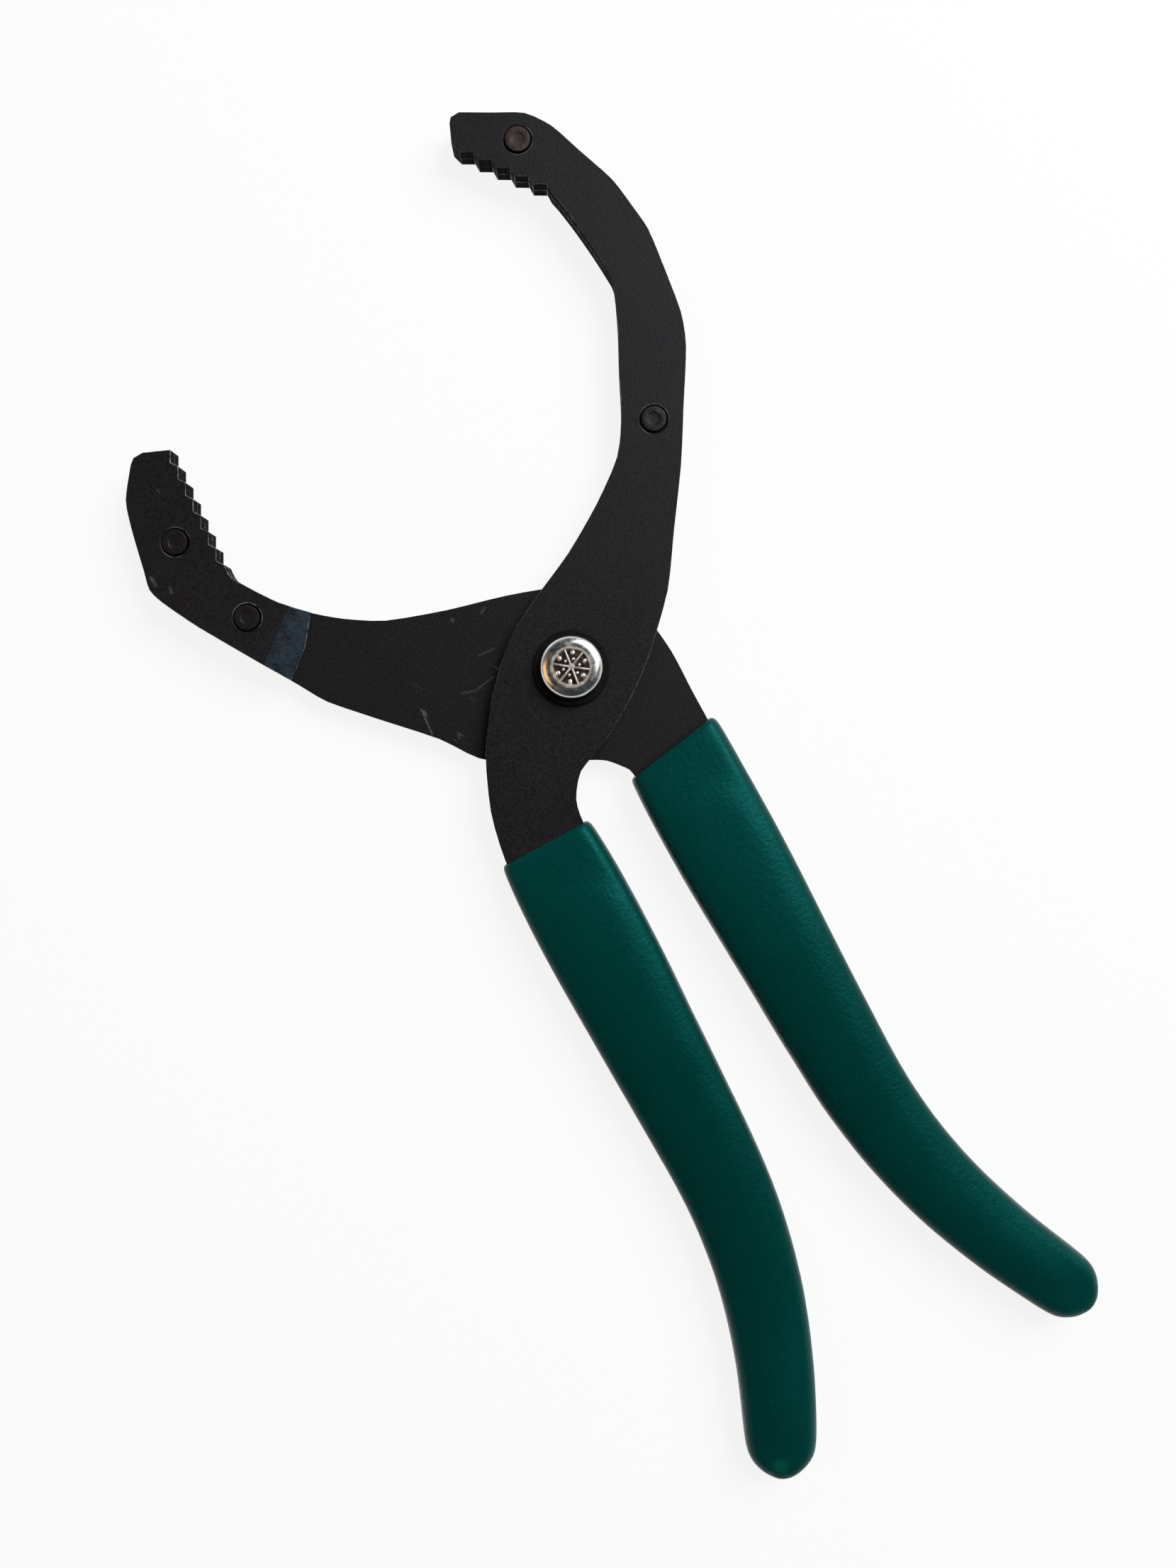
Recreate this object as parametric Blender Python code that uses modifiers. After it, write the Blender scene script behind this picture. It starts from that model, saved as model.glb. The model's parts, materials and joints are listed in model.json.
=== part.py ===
"""Pliers-type oil filter wrench: two stamped steel arms on one pivot rivet, with dipped plastic grips.

Each arm is one long plate. Its jaw is doubled by a second toothed plate, and its handle by a second
plate inside the grip, all held by rivets. The front arm lies over the rear arm. The origin is on
the pivot axis, on the surface that the closed tool lies on. +Y points to the jaws and +Z to the front.
"""

import math

import bmesh
import bpy
from mathutils import Matrix, Vector

# Plates
PLATE_THICKNESS = 0.0030
PLATE_GAP = 0.0003  # between two plates that lie on each other

# Jaws and necks: (left x, left y, right x, right y) across each plate, from the tip to the grip's mouth.
# Left and right are those of someone who walks that way. A tip's corners run from its right to its left
FRONT_JAW = (
    (0.0307, 0.1202, 0.0270, 0.1123),
    (0.0372, 0.1170, 0.0310, 0.1077),
    (0.0436, 0.1138, 0.0353, 0.1027),
    (0.0477, 0.1087, 0.0383, 0.0992),
    (0.0508, 0.1013, 0.0413, 0.0957),
    (0.0545, 0.0925, 0.0431, 0.0880),
    (0.0560, 0.0850, 0.0443, 0.0806),
    (0.0569, 0.0793, 0.0449, 0.0755),
    (0.0565, 0.0715, 0.0450, 0.0715),
    (0.0555, 0.0600, 0.0418, 0.0630),
    (0.0532, 0.0525, 0.0382, 0.0550),
    (0.0471, 0.0411, 0.0340, 0.0452),
    (0.0409, 0.0296, 0.0290, 0.0372),
    (0.0336, 0.0179, 0.0205, 0.0299),
    (0.0263, 0.0061, 0.0102, 0.0229),
    (0.0165, -0.0048, -0.0005, 0.0172),
    (0.0087, -0.0116, -0.0099, 0.0112),
    (-0.0005, -0.0177, -0.0185, 0.0017),
    (-0.0079, -0.0211, -0.0251, -0.0087),
    (-0.0116, -0.0263, -0.0296, -0.0207),
    (-0.0124, -0.0322, -0.0314, -0.0318),
)
REAR_JAW = (
    (-0.0582, 0.0812, -0.0675, 0.0820),
    (-0.0583, 0.0730, -0.0718, 0.0756),
    (-0.0582, 0.0660, -0.0734, 0.0695),
    (-0.0582, 0.0595, -0.0750, 0.0600),
    (-0.0586, 0.0535, -0.0757, 0.0556),
    (-0.0584, 0.0503, -0.0744, 0.0519),
    (-0.0554, 0.0459, -0.0697, 0.0437),
    (-0.0515, 0.0409, -0.0616, 0.0317),
    (-0.0463, 0.0362, -0.0559, 0.0232),
    (-0.0405, 0.0320, -0.0517, 0.0170),
    (-0.0323, 0.0276, -0.0435, 0.0089),
    (-0.0191, 0.0238, -0.0330, -0.0012),
    (-0.0060, 0.0210, -0.0270, -0.0088),
    (0.0055, 0.0175, -0.0175, -0.0152),
    (0.0145, 0.0115, -0.0098, -0.0183),
    (0.0198, 0.0035, -0.0050, -0.0198),
    (0.0216, -0.0060, -0.0018, -0.0215),
    (0.0219, -0.0155, 0.0008, -0.0242),
    (0.0223, -0.0235, 0.0023, -0.0269),
)
FRONT_TIP = ((0.0262, 0.1146), (0.0278, 0.1189), (0.0286, 0.1200))
REAR_TIP = ((-0.0663, 0.0831), (-0.0640, 0.0833))
PATH_STEPS = 3  # samples from one point of an arm to the next
EDGE_EASE = 0.35  # how far the edges round their corners: 0 is straight lines

# Places along the jaws, counted in points of the lists above. A rivet also has its share of the way
# across the jaw, from the right edge to the left
FRONT_TEETH_END = 4
FRONT_JAW_HEEL = 12.3
FRONT_JAW_RIVETS = {"tip": (1.92, 0.564), "heel": (FRONT_JAW_HEEL - 1.09, 0.525)}
REAR_TEETH_END = 4
REAR_JAW_HEEL = 8.0
REAR_JAW_RIVETS = {"tip": (2.62, 0.514), "heel": (REAR_JAW_HEEL - 1.5, 0.543)}

# Handles: each runs down from the grip's mouth, leans, narrows and then flares outwards to its end
FRONT_HANDLE_LENGTH = 0.1408
FRONT_HANDLE_LEAN = 0.0055
FRONT_HANDLE_FLARE = -0.0160
REAR_HANDLE_LENGTH = 0.1436
REAR_HANDLE_LEAN = 0.0083
REAR_HANDLE_FLARE = 0.0180
HANDLE_WIDTH = 0.0202
FRONT_HANDLE_END_WIDTH = 0.0124
REAR_HANDLE_END_WIDTH = 0.0116
HANDLE_POINT_STEPS = 10
NOSE_STEPS = 6  # facets of a handle's round end
FLARE_START = 0.55  # shares of the handle's length
TAPER_START = 0.20
HANDLE_PLY_START = 0.04
HANDLE_RIVETS = {"upper": 0.17, "lower": 0.76}

# Jaw teeth and the ground heel of each jaw's second plate
TOOTH_PITCH = 0.0042
TOOTH_DEPTH = 0.0012
TOOTH_LEAN = 0.65  # share of the pitch on a tooth's long flank
HEEL_BEVEL = 0.0062
HEEL_CUTTER_REACH = 4.0  # size of the block that grinds a heel, in jaw widths

# Plate rivets, with a sunk head at each end. On the jaws the heads stand a little proud
RIVET_SHANK = 0.0044
RIVET_HEAD = 0.0060
RIVET_HEAD_DEPTH = 0.0008
JAW_RIVET_PROUD = 0.0005
RIVET_CHAMFER = 0.0002
RIVET_CLEARANCE = 0.00015
RIVET_SIDES = 20

# Pivot rivet and its washer
PIVOT_SHANK = 0.0080
PIVOT_CLEARANCE = 0.00015
PIVOT_SIDES = 48
REAR_HEAD = 0.0160
REAR_HEAD_HEIGHT = 0.0015
FRONT_HEAD = 0.0137
FRONT_HEAD_HEIGHT = 0.0026
FRONT_HEAD_CROWN = 0.0010
HEAD_RIM = 0.0094
HEAD_RIM_WIDTH = 0.0006
HEAD_HUB = 0.0022
HEAD_POCKET_DEPTH = 0.0007
HEAD_POCKET_STEPS = 4
HEAD_SPOKES = 6
HEAD_SPOKE_WIDTH = 0.0010
HEAD_TURN = math.radians(25.8)
WASHER = 0.0166
WASHER_THICKNESS = 0.0008
SEAT_GAP = 0.0003  # between a head, a washer and the plate under it

# Dipped grips
GRIP_WALL = 0.0015
GRIP_CLEARANCE = 0.0003
GRIP_CORNER = 0.0034
GRIP_LIP = 0.0010
GRIP_CORNER_STEPS = 3
GRIP_NOSE_STEPS = 4
GRIP_RING_STEPS = 14
FRONT_MOUTH_SLANT = math.radians(4.5)  # turn of each grip's mouth from square to its handle
REAR_MOUTH_SLANT = math.radians(7.0)
GRIP_SPACE_LEAD = 0.5  # points of the arm by which the handle's space runs out of the mouth
GRIP_CORNER_SHARE = 0.9  # largest corner, as a share of the half width

# Heights of the layers, from the surface that the tool lies on
REAR_LAYER = REAR_HEAD_HEIGHT + SEAT_GAP
FRONT_LAYER = REAR_LAYER + PLATE_THICKNESS + PLATE_GAP
FRONT_FACE = FRONT_LAYER + PLATE_THICKNESS
GRIP_BOTTOM = REAR_LAYER - GRIP_CLEARANCE - GRIP_WALL
GRIP_TOP = FRONT_FACE + GRIP_CLEARANCE + GRIP_WALL
WASHER_BOTTOM = FRONT_FACE + SEAT_GAP
HEAD_BOTTOM = WASHER_BOTTOM + WASHER_THICKNESS + SEAT_GAP
HEAD_TOP = HEAD_BOTTOM + FRONT_HEAD_HEIGHT

# Mesh
WELD = 1e-6
TURNED_SHARP_ANGLE = math.radians(35.0)
GRIP_SHARP_ANGLE = math.radians(50.0)


def make_collection(name):
    collection = bpy.data.collections.new(name)
    bpy.context.scene.collection.children.link(collection)
    return collection


def make_material(name, color, roughness, metallic):
    material = bpy.data.materials.new(name)
    material.use_nodes = True
    shader = material.node_tree.nodes["Principled BSDF"]
    shader.inputs["Base Color"].default_value = (*color, 1.0)
    shader.inputs["Roughness"].default_value = roughness
    shader.inputs["Metallic"].default_value = metallic
    material.diffuse_color = (*color, 1.0)
    return material


def spline_value(before, start, end, after, share):
    """The value and its slope at share of the way from start to end, on an eased curve through them."""
    leave = EDGE_EASE * (end - before)
    arrive = EDGE_EASE * (after - start)
    square = 3.0 * (end - start) - 2.0 * leave - arrive
    cube = leave + arrive - 2.0 * (end - start)
    value = start + leave * share + square * share**2 + cube * share**3
    slope = leave + 2.0 * square * share + 3.0 * cube * share**2
    return value, slope


def at(arm, place):
    """The arm's left and right edges at a place along it, and its travel there."""
    index = min(int(place), len(arm) - 2)
    share = place - index
    last = len(arm) - 1
    points = [Vector(arm[min(max(index + k, 0), last)]) for k in (-1, 0, 1, 2)]
    value, slope = spline_value(*points, share)
    travel = (Vector(slope[:2]) + Vector(slope[2:])).normalized()
    return Vector(value[:2]), Vector(value[2:]), travel


def middle_at(arm, place):
    """The arm's middle, travel, left side and half width at a place along it."""
    left, right, travel = at(arm, place)
    side = Vector((-travel.y, travel.x))
    return (left + right) / 2, travel, side, (left - right).dot(side) / 2


def with_handle(jaw, length, lean, flare, end_width):
    """A jaw's points, and after them those of its handle, from the last of them to the handle's end."""
    points = list(jaw)
    mouth = (Vector(jaw[-1][:2]) + Vector(jaw[-1][2:])) / 2
    for k in range(1, HANDLE_POINT_STEPS + 1):
        share = k / HANDLE_POINT_STEPS
        bend = max(0.0, share - FLARE_START) / (1.0 - FLARE_START)
        taper = max(0.0, share - TAPER_START) / (1.0 - TAPER_START)
        middle = mouth + Vector((lean * share + flare * bend**2, -length * share))
        travel = Vector((lean + 2.0 * flare * bend / (1.0 - FLARE_START), -length)).normalized()
        half = Vector((-travel.y, travel.x)) * (HANDLE_WIDTH + (end_width - HANDLE_WIDTH) * taper) / 2
        points.append((*(middle + half), *(middle - half)))
    return points


def on_handle(jaw, share):
    """The place along an arm at this share of its handle's length."""
    return len(jaw) - 1 + share * HANDLE_POINT_STEPS


def jaw_rivets(arm, seats):
    """The middles of a jaw's rivets."""
    middles = {}
    for name, (place, share) in seats.items():
        left, right, _ = at(arm, place)
        middles[name] = right.lerp(left, share)
    return middles


def handle_rivets(arm, jaw):
    """The middles of a handle's rivets."""
    return {name: middle_at(arm, on_handle(jaw, share))[0] for name, share in HANDLE_RIVETS.items()}


def places(first, last):
    """Sample places from first to last, the whole steps between them included."""
    low = math.floor(first * PATH_STEPS) + 1
    high = math.ceil(last * PATH_STEPS)
    return [first] + [k / PATH_STEPS for k in range(low, high)] + [last]


def edge(arm, first, last, on_left, grow=0.0):
    """The left or right edge of an arm from first to last, moved outwards by grow."""
    points = []
    for place in places(first, last):
        left, right, travel = at(arm, place)
        out = Vector((-travel.y, travel.x)) * grow
        points.append(left + out if on_left else right - out)
    return points


def toothed_edge(arm, teeth_end, on_left):
    """Saw teeth along the throat side of a jaw, from its tip to teeth_end."""
    smooth = edge(arm, 0, teeth_end, on_left)
    start, end = smooth[0], smooth[-1]
    line = end - start
    along = line.normalized()
    inward = Vector((-along.y, along.x))
    if inward.dot(middle_at(arm, teeth_end / 2)[0] - start) < 0.0:
        inward.negate()
    count = max(1, round(line.length / TOOTH_PITCH))
    pitch = line.length / count
    points = [start]
    for k in range(count):
        crest = start + along * pitch * k
        points.append(crest + along * pitch * TOOTH_LEAN + inward * TOOTH_DEPTH)
        points.append(crest + along * pitch)
    return points


def nose(arm, grow=0.0):
    """Round end of a handle, from its left side to its right."""
    middle, travel, side, half_width = middle_at(arm, len(arm) - 1)
    radius = half_width + grow
    turns = [math.pi * k / NOSE_STEPS for k in range(1, NOSE_STEPS)]
    return [middle + side * radius * math.cos(a) + travel * radius * math.sin(a) for a in turns]


def jaw_sides(arm, teeth_end, throat_on_left, last):
    """Left and right edges of a jaw from its tip to last, with teeth on the throat side."""
    smooth = edge(arm, teeth_end, last, throat_on_left)
    toothed = toothed_edge(arm, teeth_end, throat_on_left) + smooth[1:]
    plain = edge(arm, 0, last, not throat_on_left)
    return (toothed, plain) if throat_on_left else (plain, toothed)


def circle(centre, radius, sides):
    turns = [math.tau * k / sides for k in range(sides)]
    return [centre + Vector((math.cos(a), math.sin(a))) * radius for a in turns]


def add_object(name, mesh, collection, material=None, parent=None):
    obj = bpy.data.objects.new(name, mesh)
    collection.objects.link(obj)
    if material:
        mesh.materials.append(material)
    obj.parent = parent
    return obj


def flat_mesh(name, outline, holes, thickness):
    """A plate of this outline, lying from z = 0 to its thickness."""
    curve = bpy.data.curves.new(name, "CURVE")
    curve.dimensions = "2D"
    curve.fill_mode = "BOTH"
    curve.extrude = thickness / 2
    for loop in [outline, *holes]:
        spline = curve.splines.new("POLY")
        spline.points.add(len(loop) - 1)
        for point, place in zip(spline.points, loop):
            point.co = (place.x, place.y, 0.0, 1.0)
        spline.use_cyclic_u = True
    guide = bpy.data.objects.new(name + "_guide", curve)
    bpy.context.scene.collection.objects.link(guide)
    graph = bpy.context.evaluated_depsgraph_get()
    mesh = bpy.data.meshes.new_from_object(guide.evaluated_get(graph))
    bpy.data.objects.remove(guide)
    shape = bmesh.new()
    shape.from_mesh(mesh)
    bmesh.ops.remove_doubles(shape, verts=shape.verts, dist=WELD)
    bmesh.ops.translate(shape, verts=shape.verts, vec=(0.0, 0.0, thickness / 2))
    bmesh.ops.recalc_face_normals(shape, faces=shape.faces)
    shape.to_mesh(mesh)
    shape.free()
    mesh.name = name
    return mesh


def turned_mesh(name, profile, sides):
    """A profile of (radius, z), top to bottom, turned about Z."""
    shape = bmesh.new()
    points = [shape.verts.new((radius, 0.0, z)) for radius, z in profile]
    for upper, lower in zip(points, points[1:]):
        shape.edges.new((upper, lower))
    mesh = bpy.data.meshes.new(name)
    shape.to_mesh(mesh)
    shape.free()
    obj = bpy.data.objects.new(name + "_guide", mesh)
    bpy.context.scene.collection.objects.link(obj)
    screw = obj.modifiers.new("turn", "SCREW")
    screw.steps = sides
    screw.render_steps = sides
    screw.use_merge_vertices = True
    screw.merge_threshold = WELD
    graph = bpy.context.evaluated_depsgraph_get()
    turned = bpy.data.meshes.new_from_object(obj.evaluated_get(graph))
    bpy.data.objects.remove(obj)
    turned.name = name
    turned.shade_smooth()
    turned.set_sharp_from_angle(angle=TURNED_SHARP_ANGLE)
    return turned


def add_cutter(name, mesh, location=(0.0, 0.0, 0.0)):
    obj = add_object(name, mesh, cutters)
    obj.location = location
    obj.hide_render = True
    obj.display_type = "WIRE"
    return obj


def cut(obj, cutter):
    boolean = obj.modifiers.new(cutter.name, "BOOLEAN")
    boolean.operation = "DIFFERENCE"
    boolean.solver = "EXACT"
    boolean.object = cutter


def add_plate(name, outline, holes, layer, parent):
    mesh = flat_mesh(name, outline, holes, PLATE_THICKNESS)
    obj = add_object(name, mesh, parts, steel, parent)
    obj.location.z = layer
    return obj


def rivet_hole(centre):
    return circle(centre, RIVET_SHANK / 2 + RIVET_CLEARANCE, RIVET_SIDES)


def rivet_profile(proud):
    """Half of a rivet, from its front face to its rear face, about the middle of its length."""
    head = RIVET_HEAD / 2
    shank = RIVET_SHANK / 2
    face = (FRONT_FACE - REAR_LAYER) / 2
    top = [(0.0, face + proud), (head, face)]
    if proud > 0.0:
        top[1:1] = [(head - RIVET_CHAMFER, face + proud), (head, face + proud - RIVET_CHAMFER)]
    half = top + [(shank, face - RIVET_HEAD_DEPTH)]
    return half + [(radius, -z) for radius, z in reversed(half)]


def add_rivets(prefix, middles, proud, front_plate, rear_plate, parent):
    """Rivets through two plates, with their sunk heads cut into the outer faces."""
    head = RIVET_HEAD / 2
    shank = RIVET_SHANK / 2
    profile = rivet_profile(proud)
    flare = (head - shank) / RIVET_HEAD_DEPTH
    sink = RIVET_HEAD_DEPTH + RIVET_CLEARANCE
    wide = shank + RIVET_CLEARANCE + flare * (sink + RIVET_CLEARANCE)
    sink_profile = [
        (0.0, RIVET_CLEARANCE),
        (wide, RIVET_CLEARANCE),
        (wide - flare * (sink + RIVET_CLEARANCE), -sink),
        (0.0, -sink),
    ]
    for place, centre in middles.items():
        name = f"{prefix}_{place}_rivet"
        rivet = add_object(name, turned_mesh(name, profile, RIVET_SIDES), parts, rivet_steel, parent)
        rivet.location = (centre.x, centre.y, (FRONT_FACE + REAR_LAYER) / 2)
        mesh = turned_mesh(name + "_sink", sink_profile, RIVET_SIDES)
        front_sink = add_cutter(name + "_front_sink", mesh, (centre.x, centre.y, FRONT_FACE))
        rear_sink = add_cutter(name + "_rear_sink", mesh, (centre.x, centre.y, REAR_LAYER))
        rear_sink.rotation_euler.x = math.pi
        cut(front_plate, front_sink)
        cut(rear_plate, rear_sink)


def heel_cutter(name, arm, heel, outer_face, inner_face):
    """A block whose one side is the slope of a second plate's heel, down to the arm that carries it."""
    middle, travel, side, half_width = middle_at(arm, heel)
    run = Vector((travel.x, travel.y, 0.0)) * HEEL_BEVEL
    drop = Vector((0.0, 0.0, inner_face - outer_face))
    slope = (run + drop).normalized()
    across = Vector((side.x, side.y, 0.0))
    out = slope.cross(across)
    if out.z * drop.z > 0.0:
        out.negate()
        across.negate()
    foot = Vector((middle.x, middle.y, inner_face))
    reach = HEEL_CUTTER_REACH * (half_width + HEEL_BEVEL)
    shape = bmesh.new()
    bmesh.ops.create_cube(shape, size=reach)
    mesh = bpy.data.meshes.new(name)
    shape.to_mesh(mesh)
    shape.free()
    cutter = add_cutter(name, mesh)
    axes = Matrix((slope, across, out)).transposed()
    if axes.determinant() < 0.0:
        axes = Matrix((slope, -across, out)).transposed()
    cutter.matrix_world = Matrix.Translation(foot + out * reach / 2) @ axes.to_4x4()
    return cutter


def section(middle, side, half_width, low, high, corner):
    """A rounded rectangle across the handle, as a ring of points."""
    points = []
    for quarter in range(4):
        across = half_width - corner if quarter in (0, 3) else corner - half_width
        height = high - corner if quarter in (0, 1) else low + corner
        for k in range(GRIP_CORNER_STEPS + 1):
            turn = math.pi / 2 * (quarter + k / GRIP_CORNER_STEPS)
            place = middle + side * (across + corner * math.cos(turn))
            points.append((place.x, place.y, height + corner * math.sin(turn)))
    return points


def grip_mesh(name, arm, mouth, slant):
    """The outside of a dipped grip: rounded sections from its rolled, slanted lip to its domed end."""
    grow = GRIP_CLEARANCE + GRIP_WALL
    end = len(arm) - 1
    rings = []
    lip_turns = [math.pi / 2 * k / GRIP_CORNER_STEPS for k in range(GRIP_CORNER_STEPS)]
    middle, travel, side, half_width = middle_at(arm, mouth)
    side = side - travel * math.tan(slant)
    for turn in lip_turns:
        inset = GRIP_LIP * (1.0 - math.sin(turn))
        back = travel * GRIP_LIP * (1.0 - math.cos(turn))
        rings.append((middle + back, side, half_width + grow, inset))
    for k in range(1, GRIP_RING_STEPS + 1):
        middle, _, side, half_width = middle_at(arm, mouth + (end - mouth) * k / GRIP_RING_STEPS)
        rings.append((middle, side, half_width + grow, 0.0))
    middle, travel, side, half_width = middle_at(arm, end)
    radius = half_width + grow
    for k in range(1, GRIP_NOSE_STEPS):
        turn = math.pi / 2 * k / GRIP_NOSE_STEPS
        inset = GRIP_CORNER * (1.0 - math.cos(turn)) / 2
        ahead = middle + travel * radius * math.sin(turn)
        rings.append((ahead, side, radius * math.cos(turn) + inset, inset))
    shape = bmesh.new()
    loops = []
    for middle, side, half_width, inset in rings:
        width = half_width - inset
        low = GRIP_BOTTOM + inset
        high = GRIP_TOP - inset
        corner = min(GRIP_CORNER, GRIP_CORNER_SHARE * width)
        points = section(middle, side, width, low, high, corner)
        loops.append([shape.verts.new(point) for point in points])
    for first, second in zip(loops, loops[1:]):
        for k in range(len(first)):
            n = (k + 1) % len(first)
            shape.faces.new((first[k], first[n], second[n], second[k]))
    shape.faces.new(loops[0])
    shape.faces.new(list(reversed(loops[-1])))
    bmesh.ops.recalc_face_normals(shape, faces=shape.faces)
    mesh = bpy.data.meshes.new(name)
    shape.to_mesh(mesh)
    shape.free()
    mesh.shade_smooth()
    mesh.set_sharp_from_angle(angle=GRIP_SHARP_ANGLE)
    return mesh


def add_grip(name, arm, mouth, slant, parent):
    """A grip with the handle's space cut out of it, open at the mouth."""
    grip = add_object(name, grip_mesh(name, arm, mouth, slant), parts, dipped_plastic, parent)
    end = len(arm) - 1
    before = mouth - GRIP_SPACE_LEAD
    left = edge(arm, before, end, True, GRIP_CLEARANCE)
    right = edge(arm, before, end, False, GRIP_CLEARANCE)
    outline = left + nose(arm, GRIP_CLEARANCE) + right[::-1]
    height = GRIP_TOP - GRIP_BOTTOM - 2 * GRIP_WALL
    space = flat_mesh(name + "_space", outline, [], height)
    cut(grip, add_cutter(name + "_space", space, (0.0, 0.0, GRIP_BOTTOM + GRIP_WALL)))
    return grip


def add_arm(prefix, arm, sizes, parent):
    """One arm: its long plate, the jaw's and the handle's second plates, rivets and grip."""
    layer = sizes["layer"]
    other = REAR_LAYER if layer == FRONT_LAYER else FRONT_LAYER
    end = len(arm) - 1
    jaw_holes = [rivet_hole(middle) for middle in sizes["jaw_rivets"].values()]
    handle_holes = [rivet_hole(middle) for middle in sizes["handle_rivets"].values()]
    pivot_hole = circle(Vector((0.0, 0.0)), PIVOT_SHANK / 2 + PIVOT_CLEARANCE, PIVOT_SIDES)

    left, right = jaw_sides(arm, sizes["teeth_end"], sizes["throat_on_left"], end)
    outline = left + nose(arm) + right[::-1] + sizes["tip"]
    holes = jaw_holes + handle_holes + [pivot_hole]
    plate = add_plate(f"{prefix}_arm_plate", outline, holes, layer, parent)

    left, right = jaw_sides(arm, sizes["teeth_end"], sizes["throat_on_left"], sizes["jaw_heel"])
    jaw = add_plate(sizes["jaw_plate"], left + right[::-1] + sizes["tip"], jaw_holes, other, parent)
    rear_face = REAR_LAYER + PLATE_THICKNESS
    faces = (FRONT_FACE, FRONT_LAYER) if other == FRONT_LAYER else (REAR_LAYER, rear_face)
    cut(jaw, heel_cutter(f"{prefix}_heel", arm, sizes["jaw_heel"], *faces))

    left = edge(arm, sizes["handle_ply"], end, True)
    right = edge(arm, sizes["handle_ply"], end, False)
    outline = left + nose(arm) + right[::-1]
    handle = add_plate(f"{prefix}_handle_plate", outline, handle_holes, other, parent)

    for part, second, proud in (("jaw", jaw, JAW_RIVET_PROUD), ("handle", handle, 0.0)):
        front, rear = (plate, second) if layer == FRONT_LAYER else (second, plate)
        add_rivets(f"{prefix}_{part}", sizes[f"{part}_rivets"], proud, front, rear, parent)
    add_grip(f"{prefix}_grip", arm, sizes["mouth"], sizes["mouth_slant"], parent)


def add_pivot(parent):
    """The pivot rivet, with a flat rear head and a spoked front head, and the washer under that."""
    shank = PIVOT_SHANK / 2
    head = FRONT_HEAD / 2
    profile = [
        (0.0, HEAD_TOP),
        (HEAD_RIM / 2, HEAD_TOP),
        (head - FRONT_HEAD_CROWN / 2, HEAD_TOP - FRONT_HEAD_CROWN / 3),
        (head, HEAD_TOP - FRONT_HEAD_CROWN),
        (head, HEAD_BOTTOM),
        (shank, HEAD_BOTTOM),
        (shank, REAR_HEAD_HEIGHT),
        (REAR_HEAD / 2, REAR_HEAD_HEIGHT),
        (REAR_HEAD / 2, 0.0),
        (0.0, 0.0),
    ]
    mesh = turned_mesh("pivot_rivet", profile, PIVOT_SIDES)
    rivet = add_object("pivot_rivet", mesh, parts, bright_steel, parent)
    for k in range(HEAD_SPOKES):
        rivet_pocket(rivet, k)
    inner = shank + PIVOT_CLEARANCE
    outer = WASHER / 2
    top = WASHER_BOTTOM + WASHER_THICKNESS
    ring = [(inner, top), (outer, top), (outer, WASHER_BOTTOM), (inner, WASHER_BOTTOM), (inner, top)]
    washer = turned_mesh("pivot_washer", ring, PIVOT_SIDES)
    add_object("pivot_washer", washer, parts, steel, parent)


def rivet_pocket(rivet, number):
    """One of the sunk panes between the spokes of the front head."""
    pane = math.tau / HEAD_SPOKES
    start = HEAD_TURN + pane * number
    outer = HEAD_RIM / 2 - HEAD_RIM_WIDTH
    inner = HEAD_HUB / 2 + HEAD_SPOKE_WIDTH
    corners = []
    for radius, steps in ((inner, 1), (outer, HEAD_POCKET_STEPS)):
        trim = math.asin(HEAD_SPOKE_WIDTH / 2 / radius)
        turns = [trim + (pane - 2 * trim) * k / steps for k in range(steps + 1)]
        arc = [Vector((math.cos(start + a), math.sin(start + a))) * radius for a in turns]
        corners += arc if radius == outer else arc[::-1]
    name = f"head_pocket_{number + 1}"
    pocket = flat_mesh(name, corners, [], 2 * HEAD_POCKET_DEPTH)
    cut(rivet, add_cutter(name, pocket, (0.0, 0.0, HEAD_TOP - HEAD_POCKET_DEPTH)))


for old in list(bpy.data.objects):
    bpy.data.objects.remove(old)

parts = make_collection("oil_filter_wrench")
cutters = make_collection("cutters")
steel = make_material("black_phosphate_steel", (0.012, 0.012, 0.015), 0.42, 0.7)
rivet_steel = make_material("black_rivet_steel", (0.020, 0.018, 0.018), 0.38, 0.8)
bright_steel = make_material("bright_plated_steel", (0.60, 0.58, 0.55), 0.28, 1.0)
dipped_plastic = make_material("dark_green_dipped_plastic", (0.001, 0.042, 0.032), 0.38, 0.0)

arm_axes = {}
for body in ("rear_arm", "front_arm"):
    arm_axes[body] = bpy.data.objects.new(body + "_axis", None)
    parts.objects.link(arm_axes[body])

rear = with_handle(REAR_JAW, REAR_HANDLE_LENGTH, REAR_HANDLE_LEAN, REAR_HANDLE_FLARE, REAR_HANDLE_END_WIDTH)
add_arm(
    "rear",
    rear,
    {
        "layer": REAR_LAYER,
        "throat_on_left": True,
        "tip": [Vector(corner) for corner in REAR_TIP],
        "teeth_end": REAR_TEETH_END,
        "jaw_plate": "rear_jaw_facing_plate",
        "jaw_heel": REAR_JAW_HEEL,
        "jaw_rivets": jaw_rivets(rear, REAR_JAW_RIVETS),
        "handle_ply": on_handle(REAR_JAW, HANDLE_PLY_START),
        "handle_rivets": handle_rivets(rear, REAR_JAW),
        "mouth": on_handle(REAR_JAW, 0.0),
        "mouth_slant": REAR_MOUTH_SLANT,
    },
    arm_axes["rear_arm"],
)
front = with_handle(
    FRONT_JAW, FRONT_HANDLE_LENGTH, FRONT_HANDLE_LEAN, FRONT_HANDLE_FLARE, FRONT_HANDLE_END_WIDTH
)
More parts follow.
